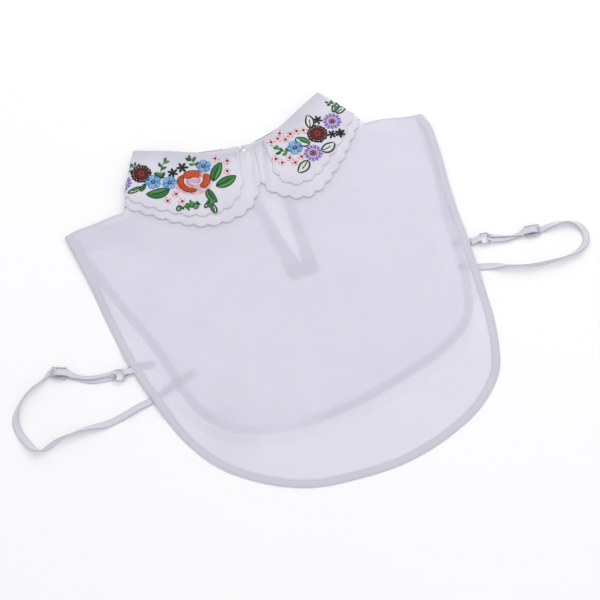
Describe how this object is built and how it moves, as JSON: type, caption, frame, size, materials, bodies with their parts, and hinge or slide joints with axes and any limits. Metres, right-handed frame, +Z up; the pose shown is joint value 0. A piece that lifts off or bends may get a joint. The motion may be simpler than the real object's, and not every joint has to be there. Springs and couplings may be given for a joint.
{
  "type": "detachable peter pan collar",
  "caption": "Sheer detachable collar bib, lying flat: front over a shorter back, tiered scalloped embroidered collar, back slit with pearl button, adjustable elastic side straps.",
  "frame": {"origin": "middle of the laid-out garment's outline, on the surface that it lies on", "axes": "+X to the right as the front is seen, +Y towards the neck, +Z up through the front"},
  "size_m": [0.5853, 0.4036, 0.0094],
  "materials": {
    "chiffon": "sheer matt white chiffon",
    "organza": "crisp white organza with coloured satin-stitch embroidery",
    "elastic": "woven white elastic tape",
    "nylon": "clear white moulded nylon",
    "pearl": "pearl lustre"
  },
  "bodies": {
    "root": {"back_panel": "chiffon", "slit_facing": "chiffon", "front_panel": "chiffon", "neck_stand": "organza", "collar_under_leaf_left": "organza", "collar_under_leaf_right": "organza", "collar_upper_leaf_left": "organza", "collar_upper_leaf_right": "organza", "strap_left": "elastic", "strap_right": "elastic", "strap_tab_left": "elastic", "strap_tab_right": "elastic", "strap_ring_left": "nylon", "strap_ring_right": "nylon", "strap_slider_left": "nylon", "strap_slider_right": "nylon", "pearl_button": "pearl", "button_loop": "elastic"}
  },
  "joints": []
}
